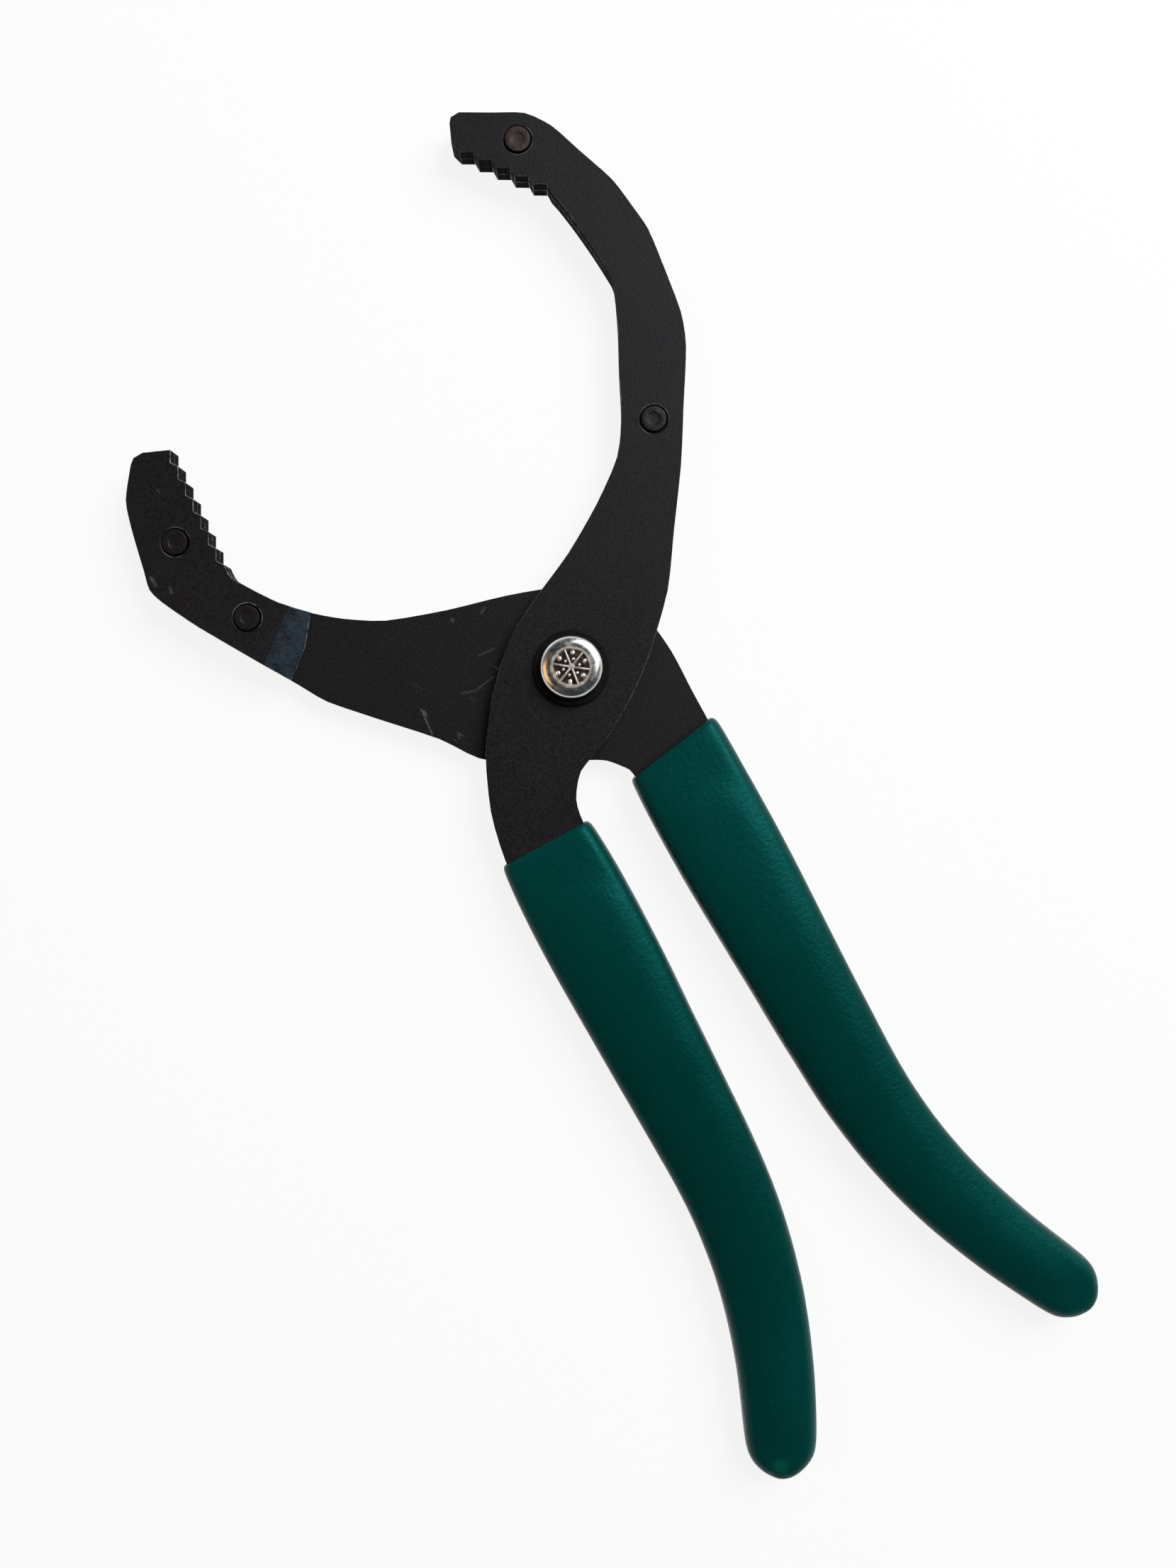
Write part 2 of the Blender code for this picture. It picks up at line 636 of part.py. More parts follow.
add_arm(
    "front",
    front,
    {
        "layer": FRONT_LAYER,
        "throat_on_left": False,
        "tip": [Vector(corner) for corner in FRONT_TIP],
        "teeth_end": FRONT_TEETH_END,
        "jaw_plate": "front_jaw_backing_plate",
        "jaw_heel": FRONT_JAW_HEEL,
        "jaw_rivets": jaw_rivets(front, FRONT_JAW_RIVETS),
        "handle_ply": on_handle(FRONT_JAW, HANDLE_PLY_START),
        "handle_rivets": handle_rivets(front, FRONT_JAW),
        "mouth": on_handle(FRONT_JAW, 0.0),
        "mouth_slant": FRONT_MOUTH_SLANT,
    },
    arm_axes["front_arm"],
)
add_pivot(arm_axes["rear_arm"])
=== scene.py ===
import json
import math

import bpy
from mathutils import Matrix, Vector

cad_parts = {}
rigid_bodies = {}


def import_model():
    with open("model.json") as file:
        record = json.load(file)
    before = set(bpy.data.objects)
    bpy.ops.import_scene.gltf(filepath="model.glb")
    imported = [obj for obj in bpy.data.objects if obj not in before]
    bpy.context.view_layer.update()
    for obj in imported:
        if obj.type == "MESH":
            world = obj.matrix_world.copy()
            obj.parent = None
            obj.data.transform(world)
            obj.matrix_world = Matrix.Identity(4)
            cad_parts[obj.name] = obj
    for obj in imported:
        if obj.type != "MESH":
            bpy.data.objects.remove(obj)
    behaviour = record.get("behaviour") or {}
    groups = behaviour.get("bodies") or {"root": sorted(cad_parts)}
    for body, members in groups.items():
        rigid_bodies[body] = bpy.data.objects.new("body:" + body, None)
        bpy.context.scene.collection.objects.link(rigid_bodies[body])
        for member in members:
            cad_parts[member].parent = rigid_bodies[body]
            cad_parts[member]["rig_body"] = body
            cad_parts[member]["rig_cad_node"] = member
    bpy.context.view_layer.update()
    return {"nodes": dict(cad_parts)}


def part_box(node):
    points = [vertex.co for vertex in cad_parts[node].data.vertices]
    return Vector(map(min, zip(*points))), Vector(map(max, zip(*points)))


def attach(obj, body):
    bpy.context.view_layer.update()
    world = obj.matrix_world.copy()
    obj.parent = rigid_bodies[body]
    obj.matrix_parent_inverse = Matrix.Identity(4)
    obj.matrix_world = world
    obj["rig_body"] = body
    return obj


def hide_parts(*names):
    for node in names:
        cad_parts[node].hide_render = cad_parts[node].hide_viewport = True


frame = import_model()
print("frame loaded:", len(frame["nodes"]), "nodes")

scene = bpy.context.scene
scene.view_settings.view_transform = "Standard"


# selecting and finishing, as by hand

nodeMerge = 1e-6  # metres, for a node's loose triangles
ringMerge = 1e-7  # metres, for a turned piece's rings


def selectOnly(piece):
    bpy.ops.object.select_all(action="DESELECT")
    piece.select_set(True)
    bpy.context.view_layer.objects.active = piece


def editMode(piece):
    selectOnly(piece)
    bpy.ops.object.mode_set(mode="EDIT")


def objectMode():
    bpy.ops.object.mode_set(mode="OBJECT")


def pick(piece, items, selectMode, wanted):
    # leaves the piece in edit mode with just these points or faces selected
    mesh = piece.data
    for part in (mesh.vertices, mesh.edges, mesh.polygons):
        part.foreach_set("select", [False] * len(part))
    for item in items:
        item.select = wanted(item)
    bpy.context.tool_settings.mesh_select_mode = selectMode
    editMode(piece)


def pickFaces(piece, wanted):
    pick(piece, piece.data.polygons, (False, False, True), wanted)


def pickPoints(piece, wanted):
    pick(piece, piece.data.vertices, (True, False, False), wanted)


def applyPlace(piece):
    selectOnly(piece)
    bpy.ops.object.transform_apply(location=True, rotation=True, scale=True)


def applyModifier(piece, kind, **values):
    selectOnly(piece)
    modifier = piece.modifiers.new(kind.lower(), kind)
    for name, value in values.items():
        setattr(modifier, name, value)
    bpy.ops.object.modifier_apply(modifier=modifier.name)


def breakEdges(piece, width, segments, sharp, **values):
    applyModifier(
        piece, "BEVEL", width=width, segments=segments, limit_method="ANGLE",
        angle_limit=math.radians(sharp), **values,
    )


def shadeSmooth(piece, degrees):
    selectOnly(piece)
    bpy.ops.object.shade_smooth_by_angle(angle=math.radians(degrees))


def copyPiece(piece):
    selectOnly(piece)
    bpy.ops.object.duplicate()
    return bpy.context.object


def setName(piece, name):
    piece.name = piece.data.name = name


def setMaterials(piece, *materials):
    piece.data.materials.clear()
    for material in materials:
        piece.data.materials.append(material)


def copyNode(nodeName, pieceName):
    # a node's mesh is loose triangles, so the copy is merged
    piece = copyPiece(frame["nodes"][nodeName])
    setName(piece, pieceName)
    piece.parent = None
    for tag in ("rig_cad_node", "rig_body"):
        del piece[tag]
    bpy.ops.mesh.customdata_custom_splitnormals_clear()
    editMode(piece)
    bpy.ops.mesh.select_all(action="SELECT")
    bpy.ops.mesh.remove_doubles(threshold=nodeMerge)
    objectMode()
    return piece


def standFor(piece, nodeName):
    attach(piece, frame["nodes"][nodeName]["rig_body"])
    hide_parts(nodeName)


# node helpers

def addNode(tree, kind, **settings):
    node = tree.nodes.new("ShaderNode" + kind)
    for name, value in settings.items():
        setattr(node, name, value)
    return node


def plug(tree, socket, value):
    # the value is a number, a colour, or another node's output
    if isinstance(value, bpy.types.NodeSocket):
        tree.links.new(value, socket)
    else:
        socket.default_value = value


def feed(tree, node, **values):
    for name, value in values.items():
        socket = next(s for s in node.inputs if s.name.replace(" ", "") == name and s.enabled)
        plug(tree, socket, value)
    return node


def math2(tree, operation, first, second, clamp=False):
    node = addNode(tree, "Math", operation=operation, use_clamp=clamp)
    plug(tree, node.inputs[0], first)
    plug(tree, node.inputs[1], second)
    return node.outputs[0]


def vectorMath(tree, operation, first, second):
    node = addNode(tree, "VectorMath", operation=operation)
    plug(tree, node.inputs[0], first)
    plug(tree, node.inputs[1], second)
    return node.outputs["Value" if operation in ("DOT_PRODUCT", "DISTANCE") else "Vector"]


def blendColor(tree, factor, first, second):
    node = addNode(tree, "Mix", data_type="RGBA")
    plug(tree, node.inputs[0], factor)
    for index, value in ((6, first), (7, second)):
        plug(tree, node.inputs[index], (*value, 1.0) if isinstance(value, tuple) else value)
    return node.outputs[2]


def spread(tree, value, low, high, toLow=0.0, toHigh=1.0):
    node = addNode(tree, "MapRange", interpolation_type="SMOOTHSTEP")
    feed(tree, node, Value=value, FromMin=low, FromMax=high, ToMin=toLow, ToMax=toHigh)
    return node.outputs[0]


def between(tree, mask, limits):
    # a mask turned into values between two limits
    return spread(tree, mask, 0.0, 1.0, *limits)


def objectSpot(tree):
    return addNode(tree, "TexCoord").outputs["Object"]


def addNoise(tree, spot, scale, detail, **more):
    noise = addNode(tree, "TexNoise")
    return feed(tree, noise, Vector=spot, Scale=scale, Detail=detail, **more).outputs[0]


def newGroup(name, inputs, outputs):
    tree = bpy.data.node_groups.new(name, "ShaderNodeTree")
    for label, kind, value in inputs:
        socket = tree.interface.new_socket(
            label, in_out="INPUT", socket_type="NodeSocket" + kind
        )
        socket.default_value = value
    for label in outputs:
        tree.interface.new_socket(label, in_out="OUTPUT", socket_type="NodeSocketFloat")
    return tree, tree.nodes.new("NodeGroupInput").outputs, tree.nodes.new("NodeGroupOutput")


def place(tree, group, **values):
    node = addNode(tree, "Group", node_tree=group)
    return feed(tree, node, **values).outputs


# shared effects

grainEffect = {
    "detail": {"Fine": 3.0, "Broad": 2.0},
    "roughness": 0.6,
    "levels": (0.3, 0.7),
}


def makeGrain():
    # fine and broad mottling of a finish
    e = grainEffect
    tree, given, result = newGroup(
        "finishGrain",
        [("Fine", "Float", 2600.0), ("Broad", "Float", 70.0)],
        ["Fine", "Broad"],
    )
    spot = objectSpot(tree)
    for label, detail in e["detail"].items():
        noise = addNoise(tree, spot, given[label], detail, Roughness=e["roughness"])
        tree.links.new(spread(tree, noise, *e["levels"]), result.inputs[label])
    return tree


scratchEffect = {
    "stretch": (1.0, 0.05, 1.0),
    "linesToPatch": 8.0,
    "lineDetail": 2.0,
    "lineLevels": (0.62, 0.72),
    "patchDetail": 3.0,
    "patchStart": 0.78,
    "patchShare": 0.3,  # how far a full amount lowers the start
    "patchGain": 9.0,
}


def makeScratches():
    # thin straight scratches that show only in patches
    e = scratchEffect
    tree, given, result = newGroup(
        "scratches",
        [("Scale", "Float", 160.0), ("Turn", "Float", 0.5), ("Amount", "Float", 0.3)],
        ["Mask"],
    )
    spot = objectSpot(tree)
    turned = addNode(tree, "VectorRotate", rotation_type="Z_AXIS")
    feed(tree, turned, Vector=spot, Angle=given["Turn"])
    stretched = addNode(tree, "Mapping")
    feed(tree, stretched, Vector=turned.outputs[0], Scale=e["stretch"])
    lineScale = math2(tree, "MULTIPLY", given["Scale"], e["linesToPatch"])
    lines = addNoise(tree, stretched.outputs[0], lineScale, e["lineDetail"])
    patches = addNoise(tree, spot, given["Scale"], e["patchDetail"])
    lower = math2(tree, "MULTIPLY", given["Amount"], e["patchShare"])
    start = math2(tree, "SUBTRACT", e["patchStart"], lower)
    thin = spread(tree, lines, *e["lineLevels"])
    over = math2(tree, "SUBTRACT", patches, start, True)
    patch = math2(tree, "MULTIPLY", over, e["patchGain"], True)
    tree.links.new(math2(tree, "MULTIPLY", thin, patch), result.inputs["Mask"])
    return tree


wearEffect = {
    "runDetail": 2.0,
    "runStart": 0.75,
    "runShare": 0.4,  # how far a full wear lowers the start
    "runGain": 8.0,
    "chipsToRun": 14.0,
    "chipDetail": 3.0,
    "chipLevels": (0.35, 0.6),
}


def makeEdgeWear():
    # where an edge has rubbed through to the metal
    e = wearEffect
    tree, given, result = newGroup(
        "edgeWear", [("Scale", "Float", 90.0), ("Wear", "Float", 0.5)], ["Mask"]
    )
    spot = objectSpot(tree)
    runs = addNoise(tree, spot, given["Scale"], e["runDetail"])
    chipScale = math2(tree, "MULTIPLY", given["Scale"], e["chipsToRun"])
    chips = addNoise(tree, spot, chipScale, e["chipDetail"])
    lower = math2(tree, "MULTIPLY", given["Wear"], e["runShare"])
    start = math2(tree, "SUBTRACT", e["runStart"], lower)
    over = math2(tree, "SUBTRACT", runs, start, True)
    run = math2(tree, "MULTIPLY", over, e["runGain"], True)
    chip = spread(tree, chips, *e["chipLevels"])
    tree.links.new(math2(tree, "MULTIPLY", run, chip), result.inputs["Mask"])
    return tree


def makeSpot():
    # a soft-edged spot at one place on a piece
    tree, given, result = newGroup(
        "spotMark",
        [
            ("Centre", "Vector", (0.0, 0.0, 0.0)),
            ("Radius", "Float", 0.005),
            ("Soft", "Float", 0.003),
        ],
        ["Mask"],
    )
    away = vectorMath(tree, "DISTANCE", objectSpot(tree), given["Centre"])
    outer = math2(tree, "ADD", given["Radius"], given["Soft"])
    mask = spread(tree, away, given["Radius"], outer, 1.0, 0.0)
    tree.links.new(mask, result.inputs["Mask"])
    return tree


strokeCore = 0.3  # share of a stroke's width that is solid


def makeStroke():
    # a short scratch between two places, or a nick where they are close
    tree, given, result = newGroup(
        "strokeMark",
        [
            ("Start", "Vector", (0.0, 0.0, 0.0)),
            ("End", "Vector", (0.0, 0.0, 0.0)),
            ("Width", "Float", 0.0004),
        ],
        ["Mask"],
    )
    along = vectorMath(tree, "SUBTRACT", given["End"], given["Start"])
    reach = vectorMath(tree, "SUBTRACT", objectSpot(tree), given["Start"])
    share = math2(
        tree, "DIVIDE", vectorMath(tree, "DOT_PRODUCT", reach, along),
        vectorMath(tree, "DOT_PRODUCT", along, along), True,
    )
    scaled = addNode(tree, "VectorMath", operation="SCALE")
    feed(tree, scaled, Vector=along, Scale=share)
    away = vectorMath(tree, "DISTANCE", reach, scaled.outputs[0])
    inner = math2(tree, "MULTIPLY", given["Width"], strokeCore)
    mask = spread(tree, away, inner, given["Width"], 1.0, 0.0)
    tree.links.new(mask, result.inputs["Mask"])
    return tree


finishGrain = makeGrain()
scratches = makeScratches()
edgeWear = makeEdgeWear()
spotMark = makeSpot()
strokeMark = makeStroke()
print("shared effects made")


# finishes: a bump is a strength and a distance, a rough is a pair of limits

def newMaterial(name, **constants):
    material = bpy.data.materials.new(name)
    material.use_nodes = True
    shader = material.node_tree.nodes["Principled BSDF"]
    for label, value in constants.items():
        socket = next(s for s in shader.inputs if s.name.replace(" ", "") == label)
        socket.default_value = value
    return material, material.node_tree, shader


def addBump(tree, shader, height, strength, distance):
    bump = addNode(tree, "Bump")
    feed(tree, bump, Height=height, Strength=strength, Distance=distance)
    tree.links.new(bump.outputs[0], shader.inputs["Normal"])


def tint(tree, mask, share, under, over):
    # a share of a mask lays one colour over another
    return blendColor(tree, math2(tree, "MULTIPLY", mask, share), under, over)


def spotMasks(tree, centres, radius, soft):
    return [place(tree, spotMark, Centre=c, Radius=radius, Soft=soft)["Mask"] for c in centres]


steelLook = {
    "specular": 0.17,
    "black": (0.0028, 0.0030, 0.0050),
    "brown": (0.0052, 0.0046, 0.0050),
    "speck": (0.0160, 0.0160, 0.0190),
    "speckShare": 0.45,
    "scratch": (0.13, 0.13, 0.12),
    "scratchShare": 0.8,
    "ragged": (0.35, 1.0),  # how strong a stroke is from grain to grain
    "rough": (0.40, 0.58),
    "bump": (0.35, 0.00006),
    "strokes": [  # from, to, width and strength
        ((-0.0338, 0.0066, 0.0048), (-0.0340, 0.0005, 0.0048), 0.00032, 0.75),
        ((-0.0335, 0.0058, 0.0048), (-0.0334, 0.0049, 0.0048), 0.00052, 0.90),
        ((-0.0212, 0.0050, 0.0048), (-0.0163, 0.0061, 0.0048), 0.00034, 0.40),
        ((-0.0241, 0.0058, 0.0048), (-0.0212, 0.0050, 0.0048), 0.00050, 0.30),
        ((-0.0171, 0.0117, 0.0048), (-0.0134, 0.0116, 0.0048), 0.00034, 0.35),
        ((-0.0190, 0.0214, 0.0048), (-0.0190, 0.0210, 0.0048), 0.00050, 0.60),
        ((-0.0114, 0.0207, 0.0048), (-0.0126, 0.0199, 0.0048), 0.00045, 0.45),
        ((-0.0288, -0.0022, 0.0048), (-0.0290, -0.0028, 0.0048), 0.00050, 0.45),
        ((-0.0742, 0.0578, 0.0081), (-0.0740, 0.0558, 0.0081), 0.00055, 0.55),
        ((-0.0714, 0.0541, 0.0081), (-0.0716, 0.0529, 0.0081), 0.00045, 0.45),
        ((-0.0646, 0.0744, 0.0081), (-0.0645, 0.0740, 0.0081), 0.00040, 0.45),
    ],
    "scuffed": [
        (-0.0339, 0.0034, 0.0048), (-0.0214, 0.0040, 0.0048), (-0.0735, 0.0545, 0.0081),
    ],
    "scuffRadius": 0.004,
    "scuffSoft": 0.010,
}


def makeBlackSteel():
    look = steelLook
    material, tree, shader = newMaterial("blackPhosphate", SpecularIORLevel=look["specular"])
    grain = place(tree, finishGrain, Fine=2300.0, Broad=38.0)
    scuffs = place(tree, scratches, Scale=120.0, Turn=0.9, Amount=0.25)["Mask"]
    deep = place(tree, scratches, Scale=210.0, Turn=-0.6, Amount=0.75)["Mask"]
    worn = 0.0
    for spot in spotMasks(tree, look["scuffed"], look["scuffRadius"], look["scuffSoft"]):
        worn = math2(tree, "MAXIMUM", worn, spot)
    marks = math2(tree, "MAXIMUM", scuffs, math2(tree, "MULTIPLY", deep, worn), True)
    ragged = between(tree, grain["Fine"], look["ragged"])
    for start, end, width, strength in look["strokes"]:
        stroke = place(tree, strokeMark, Start=start, End=end, Width=width)["Mask"]
        broken = math2(tree, "MULTIPLY", math2(tree, "MULTIPLY", stroke, strength), ragged)
        marks = math2(tree, "MAXIMUM", marks, broken)
    tone = blendColor(tree, grain["Broad"], look["black"], look["brown"])
    fine = tint(tree, grain["Fine"], look["speckShare"], tone, look["speck"])
    color = tint(tree, marks, look["scratchShare"], fine, look["scratch"])
    rough = between(tree, grain["Fine"], look["rough"])
    feed(tree, shader, BaseColor=color, Roughness=rough)
    addBump(tree, shader, math2(tree, "SUBTRACT", grain["Fine"], marks), *look["bump"])
    return material


wornLook = {
    "specular": 0.22,
    "dark": (0.0050, 0.0050, 0.0068),
    "light": (0.0110, 0.0095, 0.0095),
    "bare": (0.31, 0.31, 0.31),
    "bareMetal": 0.45,
    "rough": (0.32, 0.48),
    "rubbed": [  # places on the front plate's edges by the pivot
        (-0.0031, 0.0158, 0.0080), (-0.0166, 0.0054, 0.0080), (0.0168, -0.0052, 0.0080),
        (0.0116, -0.0089, 0.0080),
    ],
    "rubbedRadius": 0.002,
    "rubbedSoft": 0.006,
}


def makeWornEdge():
    look = wornLook
    material, tree, shader = newMaterial("wornEdge", SpecularIORLevel=look["specular"])
    grain = place(tree, finishGrain, Fine=3000.0, Broad=60.0)
    mask = place(tree, edgeWear, Scale=75.0, Wear=0.78)["Mask"]
    hard = place(tree, edgeWear, Scale=150.0, Wear=1.3)["Mask"]
    for spot in spotMasks(tree, look["rubbed"], look["rubbedRadius"], look["rubbedSoft"]):
        mask = math2(tree, "MAXIMUM", mask, math2(tree, "MULTIPLY", spot, hard))
    dark = blendColor(tree, grain["Broad"], look["dark"], look["light"])
    feed(
        tree, shader,
        BaseColor=blendColor(tree, mask, dark, look["bare"]),
        Metallic=math2(tree, "MULTIPLY", mask, look["bareMetal"]),
        Roughness=between(tree, grain["Fine"], look["rough"]),
    )
    return material


sideLook = {
    "specular": 0.02,
    "squash": (1.0, 1.0, 0.12),
    "dragScale": 1700.0,
    "dragDetail": 3.0,
    "dragLevels": (0.3, 0.7),
    "dark": (0.0022, 0.0022, 0.0034),
    "light": (0.0055, 0.0046, 0.0046),
    "line": (0.012, 0.012, 0.014),
    "lineShare": 0.4,
    "rough": (0.62, 0.82),
    "bump": (0.5, 0.00008),
}


def makeShearedSide():
    # the stamped wall of a plate: upright drag lines and a rougher break
    look = sideLook
    material, tree, shader = newMaterial("shearedSide", SpecularIORLevel=look["specular"])
    flat = addNode(tree, "Mapping")
    feed(tree, flat, Vector=objectSpot(tree), Scale=look["squash"])
    drag = addNoise(tree, flat.outputs[0], look["dragScale"], look["dragDetail"])
    grain = place(tree, finishGrain, Fine=1900.0, Broad=90.0)
    lines = spread(tree, drag, *look["dragLevels"])
    dark = blendColor(tree, grain["Broad"], look["dark"], look["light"])
    color = tint(tree, lines, look["lineShare"], dark, look["line"])
    feed(tree, shader, BaseColor=color, Roughness=between(tree, lines, look["rough"]))
    addBump(tree, shader, math2(tree, "ADD", lines, grain["Fine"]), *look["bump"])
    return material


washerShadeLook = {
    "specular": 0.10,
    "dark": (0.0012, 0.0012, 0.0018),
    "light": (0.0035, 0.0030, 0.0032),
    "rough": (0.45, 0.62),
    "bump": (0.3, 0.00004),
}


# the washer under the pivot head is coloured near black, darker than the plates: painted shade
# for the shadow round the head
def makeWasherPaintedShade():
    look = washerShadeLook
    material, tree, shader = newMaterial("washerPaintedShade", SpecularIORLevel=look["specular"])
    grain = place(tree, finishGrain, Fine=2600.0, Broad=300.0)
    color = blendColor(tree, grain["Broad"], look["dark"], look["light"])
    feed(tree, shader, BaseColor=color, Roughness=between(tree, grain["Fine"], look["rough"]))
    addBump(tree, shader, grain["Fine"], *look["bump"])
    return material


heelSheenLook = {
    "specular": 0.25,
    "dark": (0.0028, 0.0060, 0.0100),
    "light": (0.0150, 0.0290, 0.0440),
    "line": (0.050, 0.066, 0.080),
    "lineShare": 0.4,
    "metal": (0.1, 0.3),
    "rough": (0.38, 0.6),
    "bump": (0.4, 0.00008),
}


def makeGroundHeelSheen():
    # the ground slope of a jaw's second plate: a blotchy ground finish with scratch lines, and
    # a bluish slate-grey tone that is a painted reflection of the tilted face
    look = heelSheenLook
    material, tree, shader = newMaterial("groundHeelSheen", SpecularIORLevel=look["specular"])
    grain = place(tree, finishGrain, Fine=1500.0, Broad=420.0)
    lines = place(tree, scratches, Scale=300.0, Turn=-0.75, Amount=1.0)["Mask"]
    blotch = blendColor(tree, grain["Broad"], look["dark"], look["light"])
    feed(
        tree, shader,
        BaseColor=tint(tree, lines, look["lineShare"], blotch, look["line"]),
        Metallic=between(tree, grain["Broad"], look["metal"]),
        Roughness=between(tree, grain["Fine"], look["rough"]),
    )
    addBump(tree, shader, math2(tree, "ADD", grain["Fine"], grain["Broad"]), *look["bump"])
    return material


rivetFinish = {
    "specular": 0.24,
    "rubbed": (0.16, 0.14, 0.13),
    "rubbedShare": 0.5,
    "metal": (0.05, 0.25),
    "rough": (0.34, 0.55),
    "bump": (0.35, 0.00008),
}


def makeRivetSteel(name, dark, light):
    look = rivetFinish
    material, tree, shader = newMaterial(name, SpecularIORLevel=look["specular"])
    grain = place(tree, finishGrain, Fine=2400.0, Broad=500.0)
    mask = place(tree, edgeWear, Scale=420.0, Wear=0.25)["Mask"]
    tone = blendColor(tree, grain["Broad"], dark, light)
    feed(
        tree, shader,
        BaseColor=tint(tree, mask, look["rubbedShare"], tone, look["rubbed"]),
        Metallic=between(tree, grain["Broad"], look["metal"]),
        Roughness=between(tree, grain["Fine"], look["rough"]),
    )
    addBump(tree, shader, math2(tree, "ADD", grain["Fine"], grain["Broad"]), *look["bump"])
    return material


platingFinish = {
    "scratch": (0.25, 0.24, 0.22),
    "scratchShare": 0.35,
    "roughRange": 0.10,
    "broadBump": 3.0,  # broad dimples against fine ones
    "bumpStrength": 0.5,
}


def makePlating(name, bright, dull, rough, dimple):
    look = platingFinish
    material, tree, shader = newMaterial(name, Metallic=1.0)
    grain = place(tree, finishGrain, Fine=2100.0, Broad=620.0)
    fine = place(tree, scratches, Scale=260.0, Turn=0.3, Amount=0.6)["Mask"]
    color = blendColor(tree, grain["Broad"], dull, bright)
    feed(
        tree, shader,
        BaseColor=tint(tree, fine, look["scratchShare"], color, look["scratch"]),
        Roughness=between(tree, grain["Broad"], (rough, rough + look["roughRange"])),
    )
    broad = math2(tree, "MULTIPLY", grain["Broad"], look["broadBump"])
    height = math2(tree, "ADD", grain["Fine"], broad)
    addBump(tree, shader, height, look["bumpStrength"], dimple)
    return material


gripLook = {
    "specular": 0.19,
    "specularTint": (0.08, 1.0, 0.92, 1.0),
    "green": (0.0004, 0.0405, 0.0370),
    "deep": (0.0002, 0.0300, 0.0262),
    # the grips are coloured deeper round this length and paler towards both ends: painted shade
    # and painted light along the grip
    "darkMiddle": -0.105,
    "darkReach": 0.070,
    "paleShare": 0.7,
    "mottleShare": 0.3,
    # a lighter green spot on the front grip's nose: a painted highlight
    "drip": (0.0010, 0.0900, 0.0480),
    "dripShare": 0.8,
    "dripCentre": (-0.0347, -0.1764, 0.0099),
    "dripRadius": 0.0004,
    "dripSoft": 0.0022,
    # lighter teal specks over the grip: painted glints
    "dust": (0.03, 0.12, 0.10),
    "dustShare": 0.25,
    "dustScale": 1250.0,
    "dustDetail": 1.0,
    "dustLevels": (0.74, 0.80),
    "peel": 900.0,
    "peelDetail": 2.0,
    "peelRough": 0.5,
    "fineBump": 0.35,  # fine grain against the peel
    "rough": (0.28, 0.40),
    "bump": (0.55, 0.00012),
}


def makeDippedPlastic():
    look = gripLook
    material, tree, shader = newMaterial(
        "dippedPlastic", SpecularIORLevel=look["specular"], SpecularTint=look["specularTint"]
    )
    grain = place(tree, finishGrain, Fine=1500.0, Broad=55.0)
    spot = objectSpot(tree)
    peel = addNoise(tree, spot, look["peel"], look["peelDetail"], Roughness=look["peelRough"])
    # scattered lighter teal specks, painted glints on the plastic
    dust = addNoise(tree, spot, look["dustScale"], look["dustDetail"])
    paintedGlintMask = spread(tree, dust, *look["dustLevels"])
    along = addNode(tree, "SeparateXYZ")
    tree.links.new(spot, along.inputs[0])
    # painted shade round the middle of the grip, painted light towards its ends
    past = math2(tree, "SUBTRACT", along.outputs[1], look["darkMiddle"])
    fromMiddle = math2(tree, "ABSOLUTE", past, 0.0)
    paintedLight = spread(tree, fromMiddle, 0.0, look["darkReach"], 0.0, look["paleShare"])
    mottle = math2(tree, "MULTIPLY", grain["Broad"], look["mottleShare"])
    tone = blendColor(tree, math2(tree, "ADD", paintedLight, mottle), look["deep"], look["green"])
    # the lighter spot on the nose, a painted highlight
    drip = spotMasks(tree, [look["dripCentre"]], look["dripRadius"], look["dripSoft"])[0]
    highlighted = tint(tree, drip, look["dripShare"], tone, look["drip"])
    color = tint(tree, paintedGlintMask, look["dustShare"], highlighted, look["dust"])
    feed(tree, shader, BaseColor=color, Roughness=between(tree, grain["Fine"], look["rough"]))
    fine = math2(tree, "MULTIPLY", grain["Fine"], look["fineBump"])
    addBump(tree, shader, math2(tree, "ADD", peel, fine), *look["bump"])
    return material


rivetTones = {  # dark and light
    "blackRivet": ((0.0026, 0.0026, 0.0034), (0.0075, 0.0068, 0.0068)),
    "brownRivet": ((0.018, 0.011, 0.009), (0.042, 0.026, 0.021)),
}
platingTones = {  # bright, dull, roughness and dimple
    "brightPlating": ((0.74, 0.73, 0.70), (0.62, 0.61, 0.58), 0.17, 0.000004),
    "satinPlating": ((0.66, 0.62, 0.57), (0.46, 0.42, 0.38), 0.42, 0.000008),
    # the beads' plating is lighter than the head's: a painted highlight for their glints
    "beadGlintPlating": ((0.92, 0.90, 0.86), (0.82, 0.78, 0.72), 0.36, 0.000008),
    # the pockets' plating is coloured dark: painted shade in the recesses of the rosette
    "pocketShadePlating": ((0.060, 0.045, 0.038), (0.020, 0.014, 0.012), 0.40, 0.00002),
}

blackSteel = makeBlackSteel()
wornEdge = makeWornEdge()
shearedSide = makeShearedSide()
groundHeelSheen = makeGroundHeelSheen()
washerPaintedShade = makeWasherPaintedShade()
rivetSteel = {name: makeRivetSteel(name, *tones) for name, tones in rivetTones.items()}
plating = {name: makePlating(name, *tones) for name, tones in platingTones.items()}
dippedPlastic = makeDippedPlastic()
print("finishes made")


# plates: copies of the stamped plates with their edges broken

plateLook = {
    "flat": 0.4,  # degrees: faces this close to one plane are joined
    "edge": 0.00028,
    "edgeSteps": 2,
    "sharp": 28.0,  # degrees
    "wall": 0.3,  # a face whose normal is less upright is a wall
    "slope": 0.97,  # between the two it is a ground slope, if it is large
    "slopeArea": 2e-5,
    "plates": {
        "front_arm_plate": "frontArmPlate",
        "rear_arm_plate": "rearArmPlate",
        "front_jaw_backing_plate": "frontJawBackingPlate",
        "rear_jaw_facing_plate": "rearJawFacingPlate",
        "pivot_washer": "pivotWasher",
    },
}


